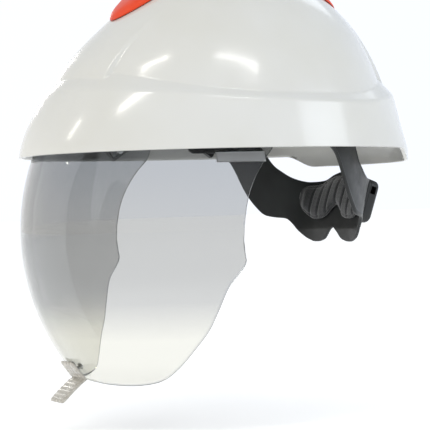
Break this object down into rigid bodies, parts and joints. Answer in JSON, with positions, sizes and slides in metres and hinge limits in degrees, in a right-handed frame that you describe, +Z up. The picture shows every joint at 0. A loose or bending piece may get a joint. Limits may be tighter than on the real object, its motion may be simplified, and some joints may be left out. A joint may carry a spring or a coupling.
{
  "type": "hard hat with retractable face shield",
  "caption": "Industrial hard hat with a coloured crest, a clear face shield that slides up inside the shell, and a ratchet harness.",
  "frame": {"origin": "centre of the head opening, level with the rim at the wearer's sides", "axes": "+Z up through the crown, -Y is the way the wearer faces, +X is the wearer's left"},
  "size_m": [0.237, 0.3065, 0.3286],
  "materials": {
    "shell_abs": "glossy injection-moulded white",
    "crest_orange": "satin orange-red",
    "shield_clear": "clear polished, very light grey tint",
    "tab_grey": "translucent ribbed grey",
    "steel": "zinc plated",
    "webbing": "woven polyester webbing",
    "pad_fabric": "perforated foam-backed cloth",
    "acetal": "natural acetal",
    "harness_black": "satin black moulded plastic"
  },
  "bodies": {
    "helmet": {"shell": "shell_abs", "crest_screw_front": "steel", "crest_screw_rear": "steel", "crest": "crest_orange", "rail_screw_left_front": "steel", "rail_screw_left_rear": "steel", "guide_rail_left": "harness_black", "rail_screw_right_front": "steel", "rail_screw_right_rear": "steel", "guide_rail_right": "harness_black", "frame_screw_rear_left": "steel", "frame_screw_rear_right": "steel", "frame_screw_side_left": "steel", "frame_screw_side_right": "steel", "harness_frame": "harness_black", "crown_strap_lower": "webbing", "crown_strap_middle": "webbing", "crown_strap_upper": "webbing", "headband": "harness_black", "brow_pad": "pad_fabric", "hanger_front_left": "harness_black", "hanger_front_right": "harness_black", "hanger_side_left": "harness_black", "hanger_side_right": "harness_black"},
    "shield": {"face_shield": "shield_clear", "shoe_rivet_left_front": "steel", "shoe_rivet_left_rear": "steel", "guide_shoe_left": "acetal", "shoe_rivet_right_front": "steel", "shoe_rivet_right_rear": "steel", "guide_shoe_right": "acetal", "tab_rivet_right": "steel", "tab_rivet_left": "steel", "pull_tab": "tab_grey"},
    "nape_unit": {"nape_cradle": "harness_black", "nape_pad": "pad_fabric", "case_screw_right": "steel", "case_screw_left": "steel", "ratchet_cover": "harness_black", "ratchet_case": "harness_black", "detent_spring": "steel"},
    "knob": {"ratchet_pinion": "acetal", "ratchet_knob": "harness_black", "knob_screw": "steel"},
    "rack_left": {"adjuster_rack_left": "harness_black"},
    "rack_right": {"adjuster_rack_right": "harness_black"}
  },
  "joints": [
    {"name": "shield_lift", "type": "hinge", "parent": "helmet", "child": "shield", "pos_m": [0, 0.005, -0.057], "axis": [-1, 0, 0], "range_deg": [0, 58]},
    {"name": "nape_fit", "type": "slide", "parent": "helmet", "child": "nape_unit", "axis": [0, -1, 0], "range_m": [-0.012, 0.016]},
    {"name": "knob_turn", "type": "hinge", "parent": "nape_unit", "child": "knob", "pos_m": [0, 0.109, -0.036], "axis": [0, -0.9397, 0.342], "range_deg": [-95.6, 127.5]},
    {"name": "rack_left_travel", "type": "slide", "parent": "nape_unit", "child": "rack_left", "axis": [-1, 0, 0], "range_m": [-0.012, 0.016]},
    {"name": "rack_right_travel", "type": "slide", "parent": "nape_unit", "child": "rack_right", "axis": [1, 0, 0], "range_m": [-0.012, 0.016]}
  ],
  "couplings": [
    {"joint": "knob_turn", "follows": "nape_fit", "rad_per_m": 138.89},
    {"joint": "rack_left_travel", "follows": "nape_fit", "ratio": 1},
    {"joint": "rack_right_travel", "follows": "nape_fit", "ratio": 1}
  ]
}
